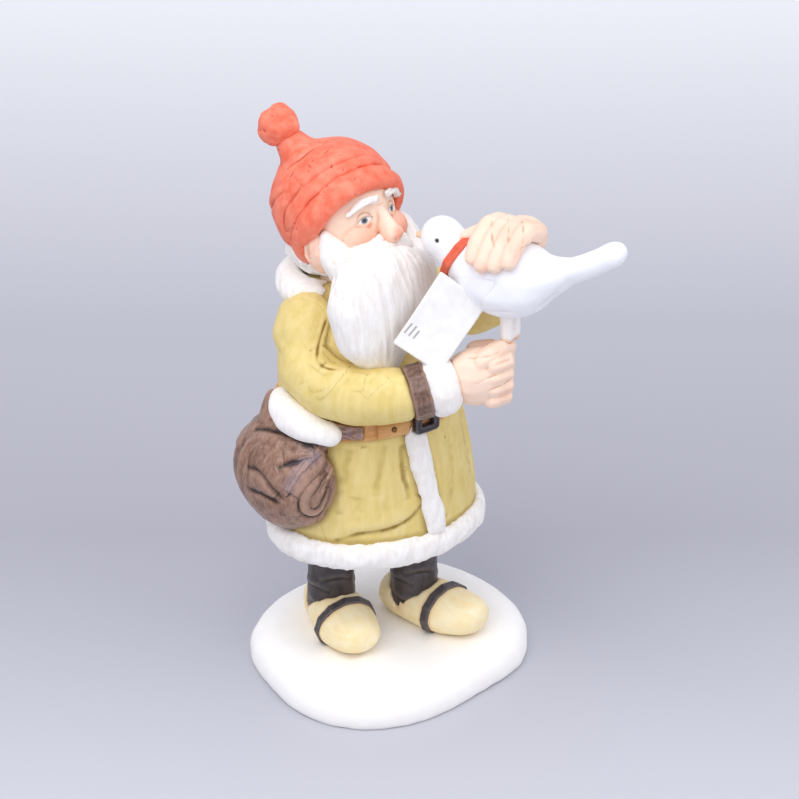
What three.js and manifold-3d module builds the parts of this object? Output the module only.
// Tomte gnome figurine: a bearded gnome in a fur-trimmed coat, wooden clogs and a stocking cap,
// with a sack at the hip, holding a white dove that carries a letter. Bisque porcelain, about 190 mm tall.
// Millimetres, +Z up, the gnome faces -Y and its right side is -X.
// The origin is the middle of the flat underside of the snow base.

import * as THREE from 'three';
import { mergeVertices } from 'three/addons/utils/BufferGeometryUtils.js';
import Module from 'manifold-3d';

const wasm = await Module();
wasm.setup();

// ---------------------------------------------------------------- driving dimensions

const GAP = 0.3; // between pieces that touch
const WALL = 4; // cast wall of the hollow coat and head
const THROAT = 5; // radius of the way between the hollow coat and the hollow head
const DRAIN = 7; // casting drain from the coat, down through each leg and the base

const BASE_LENGTH = 93;
const BASE_WIDTH = 81;
const BASE_THICK = 11;
const BASE_EDGE = 8; // rounding of the snow edge

const CLOG_LENGTH = 43;
const CLOG_WIDTH = 20;
const CLOG_HEIGHT = 12.5;
const STRAP_WIDTH = 2.6;
const STRAP_THICK = 0.6;
const STOCKING_WIDTH = 15.5;
const LEG_LENGTH = 40; // from the top of the base to the bottom of the coat

const COAT_HEIGHT = 86.5;
const SKIRT_WIDTH = 71;
const SKIRT_DEPTH = 53;
const HEM_HEIGHT = 10;
const HEM_FUR = 3.2;
const HEM_DROP = 2.5; // how far the fur hangs below the coat's floor
const HEM_TILT = -0.06; // rise of the hem per mm towards the gnome's left
const BAND_WIDTH = 8.4;
const BAND_FUR = 2.2;

const BELT_HEIGHT = 5.4;
const BELT_THICK = 1.5;
const BUCKLE_WIDTH = 8.6;
const BUCKLE_HEIGHT = 6.4;
const BUCKLE_THICK = 2.2;
const BUCKLE_BAR = 1.7;

const HEAD_WIDTH = 34;
const HEAD_DEPTH = 35;
const HEAD_HEIGHT = 41;
const HEAD_TURN = 15; // degrees to the gnome's left
const CAP_WIDTH = HEAD_WIDTH + 6;
const CAP_RIM = 2.9; // radius of the rolled rim
const CAP_SETBACK = 8; // from the rim's plane to the middle of the cap
const POMPOM = 6.2;

const SLEEVE = 9.6; // radius at the upper arm
const CUFF = 8.6; // radius of the leather cuff band
const DOVE_BODY = 12.4; // radius of the breast
const DOVE_LENGTH = 68;
const RIBBON_WIDTH = 2.4;
const RIBBON_THICK = 0.9;
const LETTER_LENGTH = 25.5;
const LETTER_WIDTH = 16.5;
const LETTER_THICK = 1.8;

// ---------------------------------------------------------------- materials

function paint(color, roughness) {
  return new THREE.MeshStandardMaterial({ color, roughness, metalness: 0 });
}

const SNOW = paint(0xf4efe8, 0.75);
const FUR = paint(0xf3efe9, 0.8);
const OLIVE = paint(0xa39a4c, 0.7);
const SKIN = paint(0xf0c4a4, 0.6);
const CORAL = paint(0xe2593a, 0.65);
const STRAW = paint(0xecd08a, 0.55);
const DARK = paint(0x2c2628, 0.35);
const TAN = paint(0xb07a3c, 0.5);
const LEATHER = paint(0x5a4136, 0.45);
const DOVE = paint(0xeef0f4, 0.65);
const PAPER = paint(0xf1f1ee, 0.7);
const CREAM = paint(0xf0b98a, 0.6);

// ---------------------------------------------------------------- solids

const point = (x, y, z) => new THREE.Vector3(x, y, z);
const UP = point(0, 0, 1);
const FRONT = point(0, -1, 0);
const radians = THREE.MathUtils.degToRad;
const mix = THREE.MathUtils.lerp;
const moved = (from, x, y, z) => from.clone().add(point(x, y, z));

// A closed geometry as a solid that can be joined and cut.
function solid(geometry) {
  const bare = geometry.index ? geometry.toNonIndexed() : geometry.clone();
  bare.deleteAttribute('normal');
  bare.deleteAttribute('uv');
  const merged = mergeVertices(bare, 1e-3);
  const corners = merged.index.array;
  const faces = [];
  for (let i = 0; i < corners.length; i += 3) {
    const [a, b, c] = corners.slice(i, i + 3);
    if (a !== b && b !== c && c !== a) faces.push(a, b, c);
  }
  const vertProperties = new Float32Array(merged.attributes.position.array);
  const mesh = new wasm.Mesh({ numProp: 3, vertProperties, triVerts: new Uint32Array(faces) });
  return new wasm.Manifold(mesh);
}

// Moves every vertex of a geometry to where the rule sends it.
function reshape(geometry, rule) {
  const spots = geometry.attributes.position;
  for (let i = 0; i < spots.count; i += 1) {
    const place = rule(spots.getX(i), spots.getY(i), spots.getZ(i));
    spots.setXYZ(i, place.x, place.y, place.z);
  }
  return geometry;
}

// An ellipsoid; turn is about Z and lean is about X, in degrees.
function blob(centre, radii, grow = 0, turn = 0, lean = 0, sides = 12) {
  const ball = new THREE.SphereGeometry(1, sides, Math.round(sides * 0.6));
  ball.rotateX(Math.PI / 2);
  ball.scale(radii[0] + grow, radii[1] + grow, radii[2] + grow);
  ball.rotateX(radians(lean));
  ball.rotateZ(radians(turn));
  ball.translate(centre.x, centre.y, centre.z);
  return solid(ball);
}

// A value between the entries of an evenly spaced list.
function along(list, t) {
  const place = Math.min(Math.max(t, 0), 1) * (list.length - 1);
  const low = Math.min(Math.floor(place), list.length - 2);
  return mix(list[low], list[low + 1], place - low);
}

// A rod with round or flat ends that follows a curve. widths and depths are its half sizes along the way,
// the width across the up direction and the depth along it.
function rod(stops, widths, depths, grow = 0, options = {}) {
  const { up = UP, flat = false, sides = 8, steps = 4 } = options;
  const curve = new THREE.CatmullRomCurve3(stops, false, 'centripetal');
  const body = flat
    ? new THREE.CylinderGeometry(1, 1, 1, sides, steps)
    : new THREE.CapsuleGeometry(1, 1, 2, sides, steps);
  reshape(body, (x, y, z) => {
    const t = Math.min(Math.max(y + 0.5, 0), 1);
    const beyond = y + 0.5 - t;
    const ahead = curve.getTangentAt(t);
    const across = new THREE.Vector3().crossVectors(ahead, up).normalize();
    const over = new THREE.Vector3().crossVectors(across, ahead);
    const spot = curve.getPointAt(t);
    const width = along(widths, t) + grow;
    const depth = along(depths, t) + grow;
    const lengthen = Math.abs(y) === 0.5 ? Math.sign(y) * grow : 0;
    const reach = flat ? lengthen : beyond * Math.min(width, depth);
    spot.addScaledVector(ahead, reach);
    spot.addScaledVector(across, x * width);
    return spot.addScaledVector(over, z * depth);
  });
  return solid(body);
}

const bar = (stops, radii, grow, options) => rod(stops, radii, radii, grow, options);

// A vertical round channel.
function channel(x, y, from, to) {
  const core = new THREE.CylinderGeometry(DRAIN / 2, DRAIN / 2, to - from, 8);
  core.rotateX(Math.PI / 2);
  core.translate(x, y, (from + to) / 2);
  return solid(core);
}

function join(solids) {
  return solids.reduce((sum, next) => sum.add(next));
}

// ---------------------------------------------------------------- the figure's landmarks

const SOLE_Z = BASE_THICK + GAP;
const COAT_Z = BASE_THICK + LEG_LENGTH;
const COLLAR_Z = COAT_Z + COAT_HEIGHT;

// Sections of the coat from hem to neck: share of the height, centre, and sizes as shares of the skirt's.
const SECTIONS = [
  { at: 0.0, x: -2.0, y: 4.0, width: 1.0, depth: 1.0 },
  { at: 0.17, x: -2.2, y: 4.5, width: 0.99, depth: 1.01 },
  { at: 0.34, x: -2.7, y: 5.4, width: 0.94, depth: 0.98 },
  { at: 0.52, x: -3.2, y: 6.4, width: 0.86, depth: 0.91 },
  { at: 0.7, x: -4.0, y: 8.3, width: 0.81, depth: 0.86 },
  { at: 0.85, x: -5.0, y: 10.5, width: 0.7, depth: 0.75 },
  { at: 0.94, x: -5.8, y: 12.0, width: 0.52, depth: 0.6 },
  { at: 1.0, x: -6.5, y: 13.0, width: 0.36, depth: 0.44 },
];

// The coat's section at a height.
function section(z) {
  const share = Math.min(Math.max((z - COAT_Z) / COAT_HEIGHT, 0), 1);
  const upper = Math.max(1, SECTIONS.findIndex((entry) => entry.at >= share));
  const [from, to] = [SECTIONS[upper - 1], SECTIONS[upper]];
  const t = (share - from.at) / (to.at - from.at);
  return {
    x: mix(from.x, to.x, t),
    y: mix(from.y, to.y, t),
    width: (mix(from.width, to.width, t) * SKIRT_WIDTH) / 2,
    depth: (mix(from.depth, to.depth, t) * SKIRT_DEPTH) / 2,
  };
}

// The spot on the coat at an angle (degrees, -90 is the front), out from its surface.
function onCoat(angle, z, out = 0) {
  const { x, y, width, depth } = section(z);
  const turn = radians(angle);
  return point(x + (width + out) * Math.cos(turn), y + (depth + out) * Math.sin(turn), z);
}

// A solid wrapped round the coat between two heights; out(t) is its surface's distance from the coat.
function wrap(from, to, out, options = {}) {
  const { tilt = 0, sides = 24, steps = 4 } = options;
  const tube = new THREE.CylinderGeometry(1, 1, 1, sides, steps);
  reshape(tube, (x, y, z) => {
    const t = y + 0.5;
    const level = mix(from, to, t);
    const tilted = level + tilt * section(level).width * x;
    const here = section(tilted);
    const away = out(t);
    return point(here.x + (here.width + away) * x, here.y - (here.depth + away) * z, tilted);
  });
  return solid(tube);
}

const BELT_Z = COAT_Z + 0.537 * COAT_HEIGHT;
const NECK = point(section(COLLAR_Z).x, section(COLLAR_Z).y, COLLAR_Z);

const HEAD = moved(NECK, -1, 2, HEAD_HEIGHT / 2 - 0.5);
const FACING = point(Math.sin(radians(HEAD_TURN)), -Math.cos(radians(HEAD_TURN)), 0);
const HEAD_LEFT = point(-FACING.y, FACING.x, 0);

// A spot on or near the head: shares of its half sizes to its left, ahead and up. The chin is lifted.
const CHIN_LIFT = 14;
function onHead(left, ahead, up) {
  const lift = radians(CHIN_LIFT);
  const forward = (ahead * HEAD_DEPTH * Math.cos(lift) - up * HEAD_HEIGHT * Math.sin(lift)) / 2;
  const rise = (ahead * HEAD_DEPTH * Math.sin(lift) + up * HEAD_HEIGHT * Math.cos(lift)) / 2;
  return HEAD.clone()
    .addScaledVector(HEAD_LEFT, (left * HEAD_WIDTH) / 2)
    .addScaledVector(FACING, forward)
    .add(point(0, 0, rise));
}

const CAP_AT = moved(HEAD, -0.8, 1.5, 4);
const CAP_AXIS = point(-0.1, 0.87, 0.48).normalize(); // out of the cap, square to its rim
const CAP_SEAT = CAP_AT.clone().addScaledVector(CAP_AXIS, -CAP_SETBACK);
const TAIL_WAY = point(-0.38, 0.5, 0.78).normalize();
const POMPOM_AT = CAP_AT.clone().addScaledVector(TAIL_WAY, CAP_WIDTH / 2 + POMPOM + 3);

const DRAWN_COAT = 86.5; // the coat height that the arms' bends below are drawn for
const ARM_SHARE = COAT_HEIGHT / DRAWN_COAT;
const SHOULDER_Z = COLLAR_Z - 12.5 * ARM_SHARE;
const arm = (x, y, drop) => point(x, y, SHOULDER_Z - drop * ARM_SHARE);
const RIGHT_ARM = [
  arm(-21, 11, -3.5),
  arm(-28.3, 5, 6.5),
  arm(-27.3, -6.5, 13.5),
  arm(-19.5, -19.5, 13),
  arm(-11.5, -27.7, 11),
];
const LEFT_ARM = [arm(14, 12, 0), arm(22, 2, 0), arm(29, -9, -1), arm(30, -17, -9), arm(28.5, -22, -18)];
const RIGHT_WAY = point(0.9, -0.38, 0.2).normalize();
const LEFT_WAY = point(-0.2, -0.48, 0.85).normalize();
const RIGHT_WRIST = RIGHT_ARM[4];
const LEFT_WRIST = LEFT_ARM[4];
const BAND_LENGTH = 5.5;
const CUFF_LENGTH = 9.5;
const RIGHT_FIST = RIGHT_WRIST.clone().addScaledVector(RIGHT_WAY, BAND_LENGTH + CUFF_LENGTH + 7.5);

// The dove stands on the right fist, its tail pointing ahead and to the gnome's left.
const DOVE_WAY = point(0.36, -0.93, 0).normalize();
const DOVE_SIDE = point(-DOVE_WAY.y, DOVE_WAY.x, 0);
const DOVE_AT = moved(RIGHT_FIST, 8.6, -2.5, 32.3);

// A spot in the dove's frame: towards its tail, to its far side and up from the middle of its body.
function onDove(back, far, up) {
  const spot = moved(DOVE_AT, 0, 0, up);
  return spot.addScaledVector(DOVE_WAY, back).addScaledVector(DOVE_SIDE, far);
}

const CLOGS = {
  right: { heel: point(-12.5, 24, SOLE_Z), turn: -12 },
  left: { heel: point(6.5, 11, SOLE_Z), turn: 20 },
};

// A spot in a clog's frame: towards the toe, to the left and up from the sole at the heel.
function onClog(side, ahead, left, up) {
  const { heel, turn } = CLOGS[side];
  const way = point(Math.sin(radians(turn)), -Math.cos(radians(turn)), 0);
  const sideways = point(-way.y, way.x, 0);
  return moved(heel, 0, 0, up).addScaledVector(way, ahead).addScaledVector(sideways, left);
}

const ankle = (side) => onClog(side, CLOG_LENGTH * 0.27, 0, 0);

// ---------------------------------------------------------------- base and feet

function snowBase(grow) {
  const corners = [
    [1, 0.05], [0.92, -0.5], [0.62, -0.86], [0.12, -0.98], [-0.38, -1.0], [-0.74, -0.8],
    [-0.97, -0.4], [-0.99, 0.12], [-0.84, 0.66], [-0.4, 0.97], [0.1, 1.0], [0.6, 0.86], [0.88, 0.52],
  ].map(([x, y]) => point((x * BASE_LENGTH) / 2, (y * BASE_WIDTH) / 2, 0));
  const outline = new THREE.CatmullRomCurve3(corners, true);
  const slab = new THREE.CylinderGeometry(1, 1, 1, 30, 5);
  reshape(slab, (x, y, z) => {
    const t = y + 0.5;
    const edge = outline.getPoint((((Math.atan2(z, x) / (2 * Math.PI)) % 1) + 1) % 1);
    const over = Math.max(0, (t * BASE_THICK - (BASE_THICK - BASE_EDGE)) / BASE_EDGE);
    const inset = BASE_EDGE * (1 - Math.sqrt(Math.max(0, 1 - over * over)));
    const reach = Math.hypot(x, z) * (1 - inset / edge.length());
    return point(edge.x * reach, edge.y * reach, t * (BASE_THICK + grow));
  });
  return solid(slab);
}

function clog(side, grow) {
  const up = CLOG_HEIGHT / 2;
  const half = CLOG_WIDTH / 2;
  const stops = [[0.15, 0], [0.36, 0], [0.64, -0.4], [0.8, 0.4]].map(([share, lift]) =>
    onClog(side, CLOG_LENGTH * share, 0, up + lift),
  );
  const widths = [half * 0.82, half * 0.92, half, half * 1.02, half * 0.86];
  const heights = [up + 1.5, up + 2.2, up + 1.8, up + 0.8, up * 0.92];
  return rod(stops, widths, heights, grow, { sides: 12 });
}

// The flat floor that trims whatever stands on the base.
function below(z) {
  const slab = new THREE.BoxGeometry(2 * BASE_LENGTH, 2 * BASE_LENGTH, 40);
  slab.translate(0, 0, z - 20);
  return solid(slab);
}

// A slice through a piece, square to its way.
function slice(centre, way, thickness) {
  const slab = new THREE.BoxGeometry(60, 60, thickness);
  slab.applyQuaternion(new THREE.Quaternion().setFromUnitVectors(UP, way.clone().normalize()));
  slab.translate(centre.x, centre.y, centre.z);
  return solid(slab);
}

function clogStrap(side, grow) {
  const middle = onClog(side, CLOG_LENGTH * 0.56, 0, 0);
  const way = onClog(side, 1, side === 'right' ? 0.12 : -0.12, 0).sub(onClog(side, 0, 0, 0));
  return clog(side, GAP + STRAP_THICK + grow).intersect(slice(middle, way, STRAP_WIDTH + 2 * grow));
}

function stocking(side, grow) {
  const foot = ankle(side);
  const half = STOCKING_WIDTH / 2;
  const stops = [point(foot.x, foot.y, SOLE_Z + 5), point(foot.x, foot.y, COAT_Z - GAP)];
  return bar(stops, [half * 1.05, half * 0.98, half], grow, { up: FRONT, flat: true, sides: 12, steps: 2 });
}

function drains() {
  const bores = ['right', 'left'].map((side) => {
    const { x, y } = ankle(side);
    return channel(x, y, -1, COAT_Z + WALL + 2);
  });
  return join(bores);
}

// ---------------------------------------------------------------- coat, belt and sack

function coatOuter(grow) {
  return wrap(COAT_Z - grow, COLLAR_Z + grow, () => grow, { steps: 7 });
}

function coat(grow) {
  if (grow > 0) return coatOuter(grow);
  const hollow = wrap(COAT_Z + WALL, COLLAR_Z - WALL, () => -WALL, { sides: 14, steps: 4 });
  const throat = [moved(NECK, 0, 0, -2 * WALL), moved(NECK, 0, 0, 2)];
  const neckHole = bar(throat, [THROAT + 1, THROAT + 1], 0, { up: FRONT, flat: true, steps: 1 });
  return coatOuter(0).subtract(hollow).subtract(neckHole);
}

// A fur ring with a rounded section.
function hemFur(grow) {
  const bulge = (t) => 0.6 + HEM_FUR * Math.sqrt(Math.max(0, 1 - (2 * t - 1) ** 4)) * 0.85 + grow;
  const low = COAT_Z - HEM_DROP;
  return wrap(low - grow, low + HEM_HEIGHT + grow, bulge, { tilt: HEM_TILT });
}

function frontFur(grow) {
  const levels = [COAT_Z + 3, COAT_Z + 0.2 * COAT_HEIGHT, COAT_Z + 0.36 * COAT_HEIGHT, BELT_Z];
  const angles = [-82, -84.5, -88, -90.5];
  const stops = levels.map((z, i) => onCoat(angles[i], z, BAND_FUR * 0.3));
  const half = BAND_WIDTH / 2;
  const widths = [half, half * 0.95, half * 0.95, half];
  return rod(stops, widths, [BAND_FUR, BAND_FUR], grow, { up: FRONT, flat: true });
}

function belt(grow) {
  const out = () => GAP + BELT_THICK + grow;
  const low = BELT_Z - BELT_HEIGHT / 2 - grow;
  return wrap(low, low + BELT_HEIGHT + 2 * grow, out, { steps: 2 });
}

// The free end of the belt lies over it, from the buckle towards the gnome's right.
function beltEnd(grow) {
  const angles = [-113, -107, -101, -95];
  const stops = angles.map((angle) => onCoat(angle, BELT_Z, GAP + BELT_THICK + 0.5));
  const half = BELT_HEIGHT * 0.46;
  const strip = rod(stops, [1, 1], [half, half], grow, { flat: true });
  if (grow > 0) return strip;
  const hole = onCoat(-103.5, BELT_Z, GAP + BELT_THICK);
  const through = [moved(hole, 1, 5, 0), moved(hole, -1, -5, 0)];
  return strip.subtract(bar(through, [0.8, 0.8], 0, { flat: true, steps: 1 }));
}

function roundedFrame(width, height, corner) {
  const outline = new THREE.Shape();
  const [x, y] = [width / 2, height / 2];
  outline.moveTo(-x + corner, -y);
  outline.lineTo(x - corner, -y);
  outline.quadraticCurveTo(x, -y, x, -y + corner);
  outline.lineTo(x, y - corner);
  outline.quadraticCurveTo(x, y, x - corner, y);
  outline.lineTo(-x + corner, y);
  outline.quadraticCurveTo(-x, y, -x, y - corner);
  outline.lineTo(-x, -y + corner);
  outline.quadraticCurveTo(-x, -y, -x + corner, -y);
  return outline;
}

function beltBuckle(grow) {
  const outline = roundedFrame(BUCKLE_WIDTH + 2 * grow, BUCKLE_HEIGHT + 2 * grow, 1.6);
  const window = roundedFrame(BUCKLE_WIDTH - 2 * BUCKLE_BAR, BUCKLE_HEIGHT - 2 * BUCKLE_BAR, 0.8);
  if (grow === 0) outline.holes.push(window);
  const depth = BUCKLE_THICK + 2 * grow;
  const frame = new THREE.ExtrudeGeometry(outline, { depth, bevelEnabled: false, curveSegments: 3 });
  frame.translate(0, 0, -depth / 2);
  frame.rotateX(Math.PI / 2);
  const spot = onCoat(-83.5, BELT_Z, GAP + BELT_THICK + BUCKLE_THICK / 2);
  frame.translate(spot.x, spot.y, spot.z);
  return solid(frame);
}

// Corners of the sack: its neck by the belt, its belly on the hip and its mouth under the fur roll.
const SACK_NECK = onCoat(-147, BELT_Z + 2, 4);
const SACK_BELLY = onCoat(174, COAT_Z + 0.315 * COAT_HEIGHT, -3);
const MOUTH_BACK = onCoat(-179, COAT_Z + 0.62 * COAT_HEIGHT, 3);
const MOUTH_FRONT = onCoat(-140, COAT_Z + 0.545 * COAT_HEIGHT, 4.5);

function sack(grow) {
  const belly = blob(SACK_BELLY, [16, 22.5, 19], grow, -6, -10, 14);
  const throat = bar([SACK_NECK, SACK_BELLY.clone().lerp(SACK_NECK, 0.45)], [3.5, 12], grow, { steps: 4 });
  const flap = bar([moved(MOUTH_BACK, 2, 7, -3), moved(SACK_BELLY, 2, 6, 4)], [3, 12], grow, { steps: 4 });
  return join([belly, throat, flap]);
}

function sackFur(grow) {
  const middle = moved(MOUTH_BACK.clone().lerp(MOUTH_FRONT, 0.5), -4.5, 0, 1);
  return bar([MOUTH_BACK, middle, MOUTH_FRONT], [4, 5.6, 5.4, 3.6], grow, { steps: 5 });
}

// The tie of the sack runs from its neck on to the belt.
function sackStrap(grow) {
  const stops = [
    moved(SACK_NECK, 2, -1, 0.5),
    onCoat(-131, BELT_Z + 0.6, 2.6),
    onCoat(-122, BELT_Z + 0.2, 2.2),
  ];
  return rod(stops, [0.9, 0.8], [2.6, 1.9], grow, { flat: true });
}

// ---------------------------------------------------------------- arms and hands

const armUp = (side) => (side === 'right' ? UP : point(1, 0, 0));

function sleeve(side, grow) {
  const radii = [SLEEVE * 1.1, SLEEVE * 1.05, SLEEVE, SLEEVE * 0.93, SLEEVE * 0.84];
  const stops = side === 'right' ? RIGHT_ARM : LEFT_ARM;
  return bar(stops, radii, grow, { sides: 10, steps: 6, up: armUp(side) });
}

// The spot on an arm's axis past the wrist.
function pastWrist(side, distance) {
  const [from, way] = side === 'right' ? [RIGHT_WRIST, RIGHT_WAY] : [LEFT_WRIST, LEFT_WAY];
  return from.clone().addScaledVector(way, distance);
}

const armOptions = (side) => ({ flat: true, sides: 12, steps: 2, up: armUp(side) });

function cuffBand(side, grow) {
  const stops = [pastWrist(side, GAP), pastWrist(side, BAND_LENGTH)];
  return bar(stops, [CUFF * 0.97, CUFF], grow, armOptions(side));
}

function cuffFur(side, grow) {
  const stops = [pastWrist(side, BAND_LENGTH + GAP), pastWrist(side, BAND_LENGTH + CUFF_LENGTH)];
  const radii = [CUFF * 0.93, CUFF * 1.12, CUFF * 1.1, CUFF * 0.85];
  return bar(stops, radii, grow, { ...armOptions(side), steps: 3 });
}

// Everything inside this block past the sleeve's end belongs to the cuffs and hand.
function wristBlock(side) {
  const stops = [pastWrist(side, 0), pastWrist(side, BAND_LENGTH + CUFF_LENGTH)];
  return bar(stops, [CUFF * 1.6, CUFF * 1.6], 0, { ...armOptions(side), steps: 1 });
}

// A fist round the dove's feet: the back of the hand, four curled fingers and the thumb on top.
function rightHand(grow) {
  const wrist = pastWrist('right', BAND_LENGTH + CUFF_LENGTH - 3);
  const stub = bar([wrist, RIGHT_FIST], [5.6, 6.8], grow, { steps: 2 });
  const palm = blob(moved(RIGHT_FIST, -0.6, -0.8, 0), [11, 7.4, 9.2], grow, -20);
  const fingers = [0, 1, 2, 3].map((i) => {
    const root = moved(RIGHT_FIST, 0, 0, 5.4 - 4 * i);
    const shrink = i === 3 ? 0.85 : 1;
    const stops = [[2, 5], [8.2, 1.5], [7, -5], [0.5, -6]].map(([x, y]) => moved(root, x, y, 0));
    return bar(stops, [2.8 * shrink, 3.1 * shrink, 2.9 * shrink], grow, { sides: 7 });
  });
  const top = moved(RIGHT_FIST, -2, -4, 6.5);
  const way = [top, moved(top, 5, -0.5, 2.4), moved(top, 10, 0.5, 1.8)];
  const thumb = bar(way, [3, 2.9, 2.4], grow, { sides: 7, steps: 3 });
  return join([stub, palm, ...fingers, thumb]);
}

// The open hand over the dove's back: palm on its far side, four fingers over the top, the thumb ahead.
function leftHand(grow) {
  const palmAt = onDove(0, 8.5, 9.5);
  const wrist = pastWrist('left', BAND_LENGTH + CUFF_LENGTH - 3);
  const stub = bar([wrist, palmAt], [5.4, 5.6], grow, { steps: 2, up: armUp('left') });
  const palm = blob(palmAt, [5.2, 7.4, 5.6], grow, 21);
  const fingers = [1, 0, 0.6, 2].map((shorten, i) => {
    const back = -6.5 + 3.9 * i;
    const tip = onDove(back, -11.5 + shorten, 6.6 + shorten);
    const stops = [onDove(back, 7, 12), onDove(back, 0.5, 14.6), onDove(back, -6.5, 12.2), tip];
    return bar(stops, [3.1, 3, 2.5], grow, { sides: 7, steps: 5 });
  });
  const way = [onDove(-5, 5, 11.5), onDove(-11, 1.5, 10.5), onDove(-15, -1, 8.2)];
  const thumb = bar(way, [2.9, 2.5, 2.1], grow);
  return join([stub, palm, ...fingers, thumb]);
}

// ---------------------------------------------------------------- dove and letter

const BEAK_AT = -0.43 * DOVE_LENGTH; // the head's middle, ahead of the body's middle
const TAIL_AT = 0.5 * DOVE_LENGTH;

function doveBody(grow) {
  const radius = DOVE_BODY;
  const trunk = blob(onDove(-1, 0, -1), [radius * 0.95, radius * 1.35, radius], grow, 21, -6, 12);
  const chest = [onDove(-8, 0, -1), onDove(-17, 0, 2), onDove(-22, 0, 5)];
  const breast = bar(chest, [radius * 0.86, radius * 0.62, 5.4], grow, { steps: 5 });
  const head = blob(onDove(BEAK_AT * 0.81, 0, 6), [6.3, 6.9, 6.4], grow, 21);
  const tail = rod(
    [onDove(6, 0, -1), onDove(18, 0, 4.5), onDove(TAIL_AT * 0.85, 0, 10.5), onDove(TAIL_AT + 1, 0, 15)],
    [radius * 0.8, 7.2, 4.6, 5.6, 4.6],
    [radius * 0.75, 6.2, 3.6, 3.2, 3.4],
    grow,
    { steps: 6 },
  );
  return join([trunk, breast, head, tail]);
}

function doveBeak(grow) {
  const root = onDove(BEAK_AT * 0.81 - 5.6, 0, 5.6);
  const tip = moved(root, 0, 0, -0.8).addScaledVector(DOVE_WAY, -3.2);
  return bar([root, tip], [1.7, 0.7], grow, { steps: 2 });
}

function doveLegs(grow) {
  const legs = [-1, 1].map((side) => {
    const stops = [onDove(0.5, 2.2 * side, -9), onDove(1, 1.9 * side, -20.5)];
    return bar(stops, [2.7, 1.8, 1.8], grow, { up: DOVE_WAY, sides: 6, steps: 2 });
  });
  const feet = bar([onDove(1, -2, -20), onDove(1, 2, -20)], [1.6, 1.6], grow, { sides: 6, steps: 1 });
  return join([...legs, feet]);
}

// The ribbon follows the neck, lower at the breast.
function doveRibbon(grow) {
  const way = DOVE_WAY.clone().add(point(0, 0, -0.55));
  const band = slice(onDove(-17.2, 0, 2), way, RIBBON_WIDTH + 2 * grow);
  return doveBody(GAP + RIBBON_THICK + grow).intersect(band);
}

// The letter hangs below the ribbon, one corner down.
const LETTER_LONG = point(0.565, -0.15, 0.81).normalize();
const LETTER_AT = moved(onDove(-8, 0, 0), -16.4, 0.9, -14.4);

function letter(grow) {
  const facing = new THREE.Vector3().crossVectors(LETTER_LONG, point(0.56, -0.62, -0.547)).normalize();
  const across = new THREE.Vector3().crossVectors(facing, LETTER_LONG);
  const sizes = [LETTER_LENGTH, LETTER_WIDTH, LETTER_THICK].map((size) => size + 2 * grow);
  const card = new THREE.BoxGeometry(...sizes);
  card.applyMatrix4(new THREE.Matrix4().makeBasis(LETTER_LONG, across, facing));
  card.translate(LETTER_AT.x, LETTER_AT.y, LETTER_AT.z);
  return solid(card);
}

// ---------------------------------------------------------------- head, hair and cap

function skull(grow) {
  return blob(HEAD, [HEAD_WIDTH / 2, HEAD_DEPTH / 2, HEAD_HEIGHT / 2], grow, HEAD_TURN, CHIN_LIFT, 14);
}

function head(grow) {
  const nose = bar([onHead(0, 0.94, 0.06), onHead(0, 1.13, -0.28)], [1.9, 3], grow, { sides: 8, steps: 2 });
  const cheeks = [-1, 1].map((side) => blob(onHead(0.42 * side, 0.74, -0.26), [5.2, 5, 5], grow));
  const neck = bar([moved(NECK, 0, 0, GAP), HEAD], [9.5, 10], grow, { up: FRONT, flat: true, steps: 1 });
  const whole = join([skull(grow), nose, ...cheeks, neck]);
  if (grow > 0) return whole;
  const inner = [HEAD_WIDTH, HEAD_DEPTH, HEAD_HEIGHT].map((size) => size / 2 - WALL);
  const hollow = blob(HEAD, inner, 0, HEAD_TURN, CHIN_LIFT, 10);
  const throat = bar([moved(NECK, 0, 0, -2), HEAD], [THROAT, THROAT], 0, { up: FRONT, flat: true, steps: 1 });
  return whole.subtract(hollow).subtract(throat);
}

function ear(side, grow) {
  const left = side === 'right' ? -1 : 1;
  const top = onHead(0.96 * left, 0.2, -0.12);
  const middle = onHead(1.05 * left, 0.2, -0.36);
  const lobe = onHead(0.96 * left, 0.24, -0.58);
  return rod([top, middle, lobe], [2.2, 2.4, 1.7], [3.4, 3.6, 2.4], grow, { up: FACING });
}

function eyebrow(side, grow) {
  const left = side === 'right' ? -1 : 1;
  const stops = [
    onHead(0.15 * left, 1.04, 0.2),
    onHead(0.42 * left, 0.98, 0.27),
    onHead(0.68 * left, 0.82, 0.2),
  ];
  return bar(stops, [1.6, 1.9, 1.3], grow);
}

function moustache(side, grow) {
  const left = side === 'right' ? -1 : 1;
  const stops = [
    onHead(0.05 * left, 1.08, -0.46),
    onHead(0.36 * left, 1.03, -0.54),
    onHead(0.66 * left, 0.84, -0.76),
  ];
  return bar(stops, [2.6, 3.2, 1.6], grow, { steps: 5 });
}

// The beard falls from the cheeks and chin over the chest.
function beard(grow) {
  const fall = [
    onHead(-0.04, 0.75, -0.6),
    onHead(-0.1, 1.05, -0.85),
    moved(NECK, -4.5, -24, -4),
    moved(NECK, -6, -26.5, -18),
  ];
  const widths = [14, 19.5, 23.5, 17.5, 7];
  const depths = [8, 8.5, 8.5, 7, 4.5];
  const flow = rod(fall, widths, depths, grow, { up: point(0.3, -1, 0.2), sides: 12, steps: 5 });
  const jaws = [-1, 1].map((side) => {
    const line = [
      onHead(0.9 * side, 0.4, -0.12),
      onHead(0.84 * side, 0.62, -0.6),
      onHead(0.5 * side, 0.95, -1.05),
    ];
    return bar(line, [2.2, 5.2, 7.5], grow, { sides: 7, steps: 3 });
  });
  return join([flow, ...jaws]);
}

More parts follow.
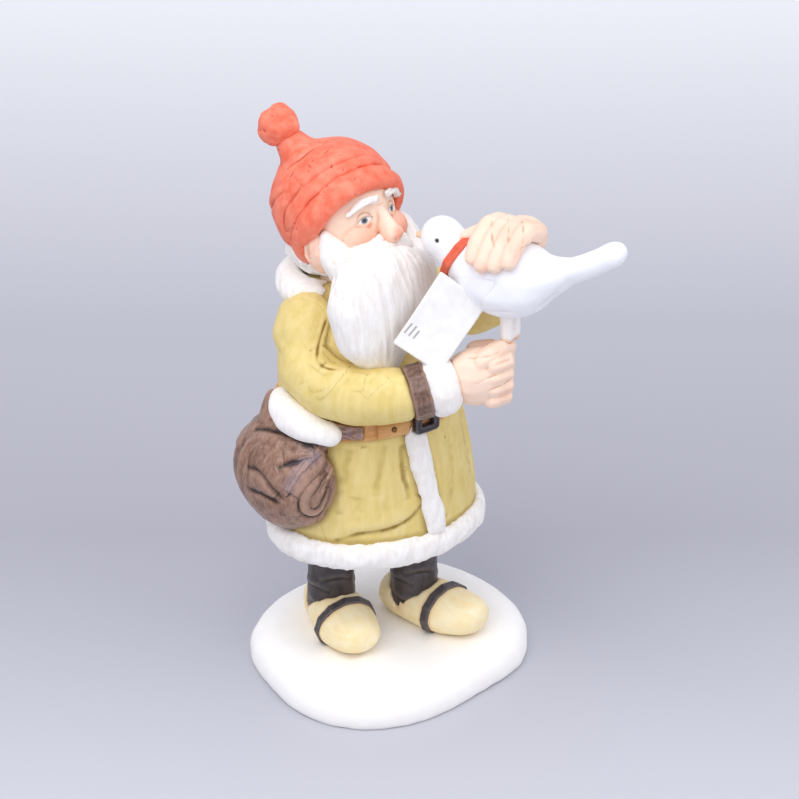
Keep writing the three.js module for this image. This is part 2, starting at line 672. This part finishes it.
function hair(grow) {
  return blob(moved(HEAD, 0, 3.5, -9.5), [16.6, 15.4, 11], grow, HEAD_TURN, 0, 11);
}

function furCollar(grow) {
  const hoop = new THREE.TorusGeometry(15.5, 5 + grow, 6, 16);
  hoop.scale(1.06, 0.78, 1);
  hoop.rotateX(radians(8));
  hoop.translate(NECK.x, NECK.y + 5.5, NECK.z - 2);
  return solid(hoop);
}

// Stands a geometry made round +Z on the cap's axis at its rim.
function onRim(geometry) {
  geometry.applyQuaternion(new THREE.Quaternion().setFromUnitVectors(UP, CAP_AXIS));
  geometry.translate(CAP_SEAT.x, CAP_SEAT.y, CAP_SEAT.z);
  return solid(geometry);
}

function cap(grow) {
  const half = CAP_WIDTH / 2;
  const crown = blob(CAP_AT, [half, half * 1.02, half * 0.98], grow, HEAD_TURN, 0, 15);
  const tailFrom = CAP_AT.clone().addScaledVector(TAIL_WAY, half * 0.55);
  const tailTo = POMPOM_AT.clone().addScaledVector(TAIL_WAY, -POMPOM - 1);
  const tail = bar([tailFrom, tailTo], [half * 0.78, half * 0.52, 6.2, 5.2], grow, { up: FACING, steps: 5 });
  const ahead = new THREE.BoxGeometry(4 * CAP_WIDTH, 4 * CAP_WIDTH, 2 * CAP_WIDTH);
  ahead.translate(0, 0, -CAP_WIDTH - grow);
  return join([crown, tail]).subtract(onRim(ahead));
}

// The rolled rim follows the circle where the rim's plane crosses the crown.
function capRim(grow) {
  const reach = Math.sqrt((CAP_WIDTH / 2) ** 2 - CAP_SETBACK ** 2);
  const roll = new THREE.TorusGeometry(reach - CAP_RIM * 0.45, CAP_RIM + grow, 7, 20);
  roll.scale(1, 1, 1.45);
  roll.translate(0, 0, CAP_RIM * 0.4);
  return onRim(roll);
}

function pompom(grow) {
  return blob(POMPOM_AT, [POMPOM, POMPOM, POMPOM], grow, 0, 0, 12);
}

// ---------------------------------------------------------------- the pieces

const both = (make) => ({ right: (grow) => make('right', grow), left: (grow) => make('left', grow) });
const clogs = both(clog);
const straps = both(clogStrap);
const stockings = both(stocking);
const sleeves = both(sleeve);
const bands = both(cuffBand);
const cuffs = both(cuffFur);
const ears = both(ear);
const brows = both(eyebrow);
const whiskers = both(moustache);

// Each piece: name, material, shape, the pieces it keeps clear of, and whatever else is cut from it:
// the floor under the clogs, the drains through the legs, and the cuffs' room at the sleeves' ends.
const PIECES = [
  ['base', SNOW, snowBase, [], () => [drains()]],
  ['clog_right', STRAW, clogs.right, [stockings.right], () => [below(SOLE_Z), drains()]],
  ['clog_left', STRAW, clogs.left, [stockings.left], () => [below(SOLE_Z), drains()]],
  ['clog_strap_right', DARK, straps.right, [clogs.right, stockings.right], () => [below(SOLE_Z)]],
  ['clog_strap_left', DARK, straps.left, [clogs.left, stockings.left], () => [below(SOLE_Z)]],
  ['stocking_right', DARK, stockings.right, [], () => [drains()]],
  ['stocking_left', DARK, stockings.left, [], () => [drains()]],
  ['coat_body', OLIVE, coat, [], () => [drains()]],
  ['hem_fur', FUR, hemFur, [coat, stockings.right, stockings.left]],
  ['belt', TAN, belt, [coat, sleeves.right, bands.right]],
  ['belt_end', TAN, beltEnd, [belt, sleeves.right, bands.right]],
  ['belt_buckle', DARK, beltBuckle, [belt, beltEnd]],
  ['front_fur', FUR, frontFur, [coat, belt, hemFur, beltBuckle, beltEnd]],
  ['sack', LEATHER, sack, [coat, belt, hemFur, beltEnd]],
  ['sack_fur', FUR, sackFur, [coat, belt, sack]],
  ['sack_strap', LEATHER, sackStrap, [coat, belt, beltEnd, sack, sackFur]],
  [
    'sleeve_right', OLIVE, sleeves.right,
    [coat, sackFur, sack, belt, furCollar], () => [wristBlock('right')],
  ],
  ['sleeve_left', OLIVE, sleeves.left, [coat, furCollar], () => [wristBlock('left')]],
  ['cuff_band_right', LEATHER, bands.right, [coat, belt]],
  ['cuff_band_left', LEATHER, bands.left, [doveBody, doveRibbon]],
  ['cuff_fur_right', FUR, cuffs.right, [coat, belt]],
  ['cuff_fur_left', FUR, cuffs.left, [doveBody, doveRibbon]],
  ['dove_body', DOVE, doveBody, []],
  ['dove_beak', CREAM, doveBeak, [doveBody]],
  ['dove_legs', CREAM, doveLegs, [doveBody]],
  ['dove_ribbon', CORAL, doveRibbon, [doveBody]],
  ['letter', PAPER, letter, [doveBody, doveRibbon, sleeves.right, bands.right, cuffs.right]],
  ['hand_right', SKIN, rightHand, [cuffs.right, doveLegs, doveBody]],
  ['hand_left', SKIN, leftHand, [cuffs.left, doveBody, doveRibbon]],
  ['head', SKIN, head, [coat]],
  ['ear_right', SKIN, ears.right, [head]],
  ['ear_left', SKIN, ears.left, [head]],
  ['cap_rim', CORAL, capRim, [head, ears.right, ears.left]],
  ['cap', CORAL, cap, [head, capRim, ears.right, ears.left]],
  ['pompom', CORAL, pompom, [cap]],
  ['fur_collar', FUR, furCollar, [coat, head, capRim, cap, beard]],
  ['hair', FUR, hair, [head, capRim, cap, furCollar, coat, ears.right, ears.left, beard]],
  ['eyebrow_right', FUR, brows.right, [head, capRim]],
  ['eyebrow_left', FUR, brows.left, [head, capRim]],
  ['moustache_right', FUR, whiskers.right, [head, doveBody, doveBeak]],
  ['moustache_left', FUR, whiskers.left, [head, doveBody, doveBeak, whiskers.right]],
  [
    'beard', FUR, beard,
    [head, coat, ears.right, ears.left, whiskers.right, whiskers.left, capRim, cap,
      letter, doveBody, doveBeak, doveRibbon, sleeves.right, sleeves.left, bands.right, cuffs.right],
  ],
];

function makePiece([name, material, shape, neighbours, more = () => []]) {
  const cuts = [...neighbours.map((neighbour) => neighbour(GAP)), ...more()];
  const whole = cuts.reduce((rest, cut) => rest.subtract(cut), shape(0));
  const { vertProperties, triVerts } = whole.getMesh();
  const geometry = new THREE.BufferGeometry();
  geometry.setAttribute('position', new THREE.BufferAttribute(new Float32Array(vertProperties), 3));
  geometry.setIndex(new THREE.BufferAttribute(new Uint32Array(triVerts), 1));
  geometry.computeVertexNormals();
  const mesh = new THREE.Mesh(geometry, material);
  mesh.name = name;
  return mesh;
}

const figurine = new THREE.Group();
figurine.name = 'tomte_figurine';
PIECES.forEach((piece) => figurine.add(makePiece(piece)));

export default figurine;
